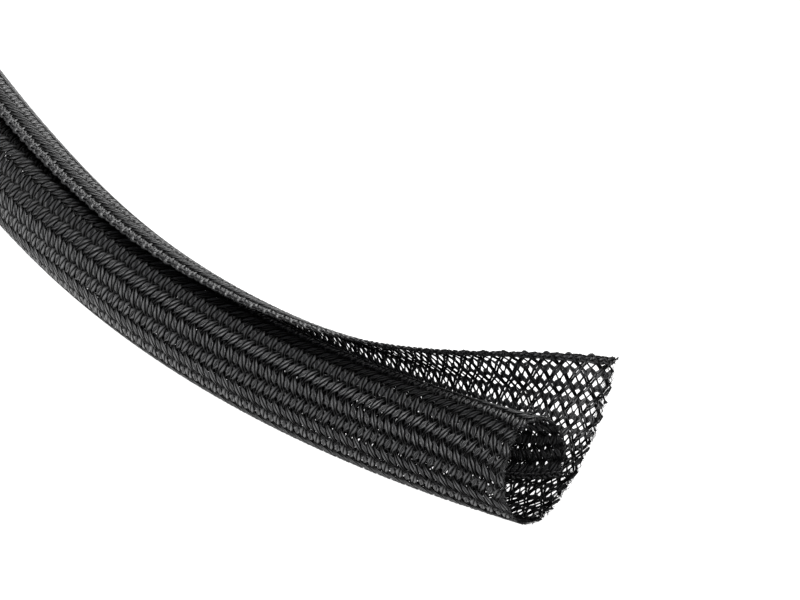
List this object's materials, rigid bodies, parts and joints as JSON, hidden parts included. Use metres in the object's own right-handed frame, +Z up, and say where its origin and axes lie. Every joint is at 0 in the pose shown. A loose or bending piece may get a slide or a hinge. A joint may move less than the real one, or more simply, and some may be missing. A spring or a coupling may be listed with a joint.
{
  "type": "braided cable sleeve",
  "caption": "Split, self-wrapping braided cable sleeve, bent as it comes off the reel, with its lap sprung open at one end.",
  "frame": {"origin": "on the floor, under the centre of the sleeve's bounding box", "axes": "+X along the sleeve's chord towards the open, flared end, +Y to the inside of the bend, +Z up"},
  "size_m": [0.3062, 0.0562, 0.0275],
  "materials": {
    "black_polyester_braid": "satin black braid"
  },
  "bodies": {
    "root": {"braided_sleeve": "black_polyester_braid"}
  },
  "joints": []
}
